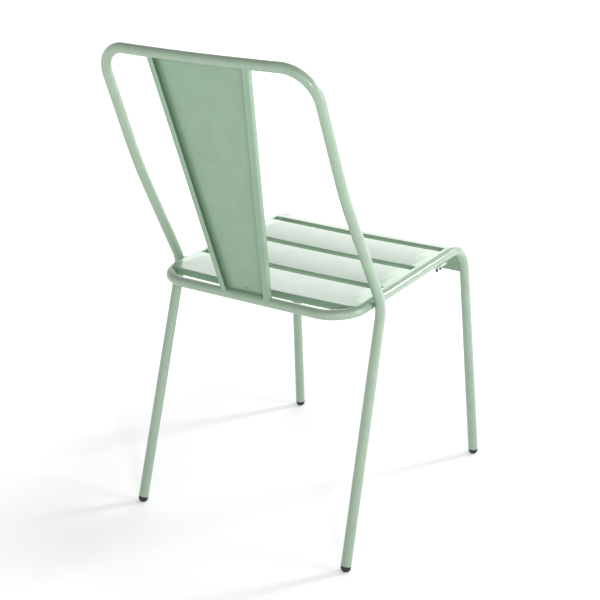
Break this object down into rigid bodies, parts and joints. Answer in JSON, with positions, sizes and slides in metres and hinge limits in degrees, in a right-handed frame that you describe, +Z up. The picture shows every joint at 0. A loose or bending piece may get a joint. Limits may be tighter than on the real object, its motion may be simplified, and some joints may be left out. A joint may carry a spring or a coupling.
{
  "type": "stacking chair",
  "caption": "Metal stacking chair with a bent tube frame, a slotted sheet seat, a tapered sheet back splat, black plastic feet and stacking bumpers.",
  "frame": {"origin": "on the floor, in the middle of the chair's overall width and depth", "axes": "+Z up, the sitter faces -Y, the sitter's left is +X"},
  "size_m": [0.4656, 0.5274, 0.865],
  "materials": {
    "coat": "satin sage green powder coat",
    "glide": "black moulded plastic",
    "bumper": "pale translucent plastic"
  },
  "bodies": {
    "root": {"back_frame": "coat", "seat_frame": "coat", "seat_pan": "coat", "back_splat": "coat", "foot_front_right": "glide", "foot_rear_right": "glide", "stacking_bumper_right": "bumper", "hip_weld_right": "coat", "foot_front_left": "glide", "foot_rear_left": "glide", "stacking_bumper_left": "bumper", "hip_weld_left": "coat"}
  },
  "joints": []
}
